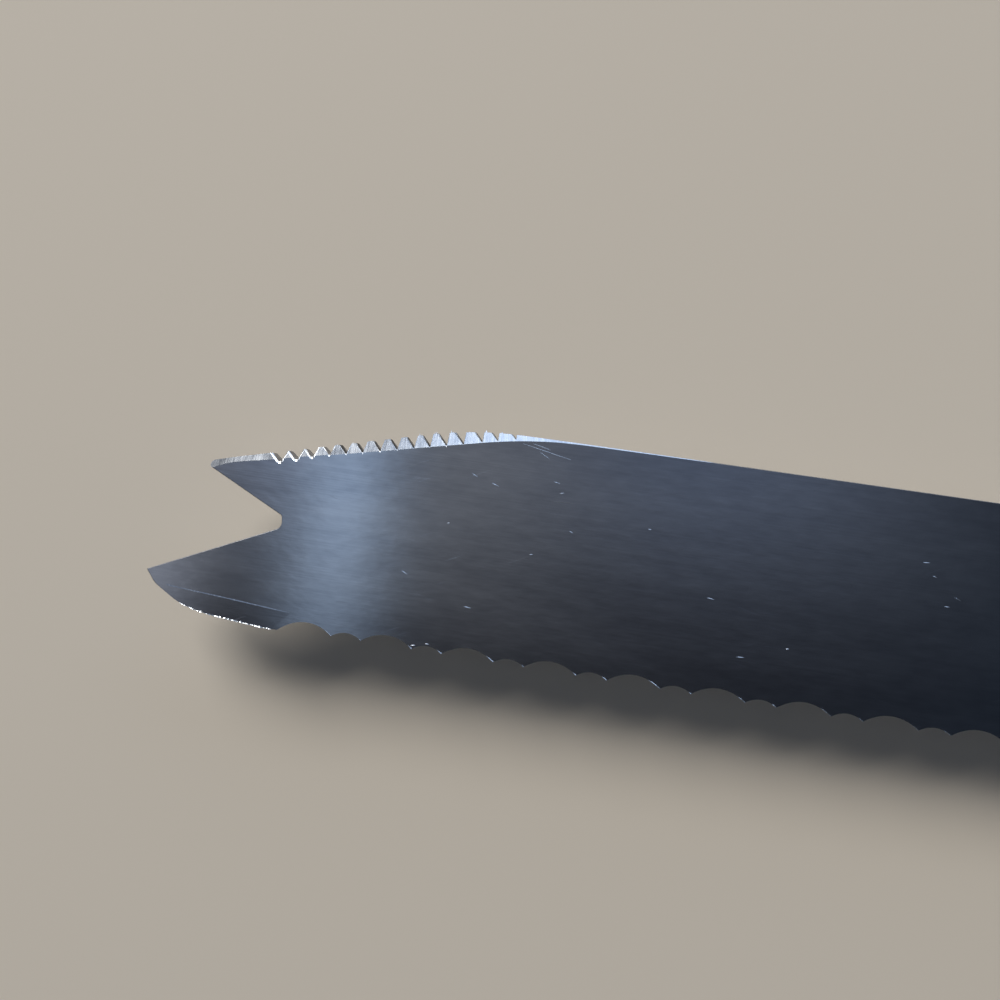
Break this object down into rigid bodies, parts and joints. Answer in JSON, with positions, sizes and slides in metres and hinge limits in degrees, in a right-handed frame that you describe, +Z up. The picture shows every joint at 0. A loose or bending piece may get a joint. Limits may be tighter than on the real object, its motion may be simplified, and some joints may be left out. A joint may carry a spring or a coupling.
{
  "type": "steak knife",
  "caption": "Table knife with a forked tip, scalloped edge and saw-toothed sloping back, its full tang riveted between wooden handle scales.",
  "frame": {"origin": "centre of the bottom of the knife's bounding box, as it lies flat on a table on its lower scale", "axes": "+X along the knife from the forked tip towards the end of the handle, +Y from the cutting edge towards the back, +Z up through the flat of the blade"},
  "size_m": [0.2358, 0.0262, 0.0141],
  "materials": {
    "polished_steel": "polished, with a fine lengthwise grain",
    "oiled_hardwood": "oiled, satin",
    "brass": "sanded flush, satin"
  },
  "bodies": {
    "root": {"blade_and_tang": "polished_steel", "upper_scale": "oiled_hardwood", "lower_scale": "oiled_hardwood", "rivet_1_tube_half": "brass", "rivet_1_pin_half": "brass", "rivet_2_tube_half": "brass", "rivet_2_pin_half": "brass", "rivet_3_tube_half": "brass", "rivet_3_pin_half": "brass"}
  },
  "joints": []
}
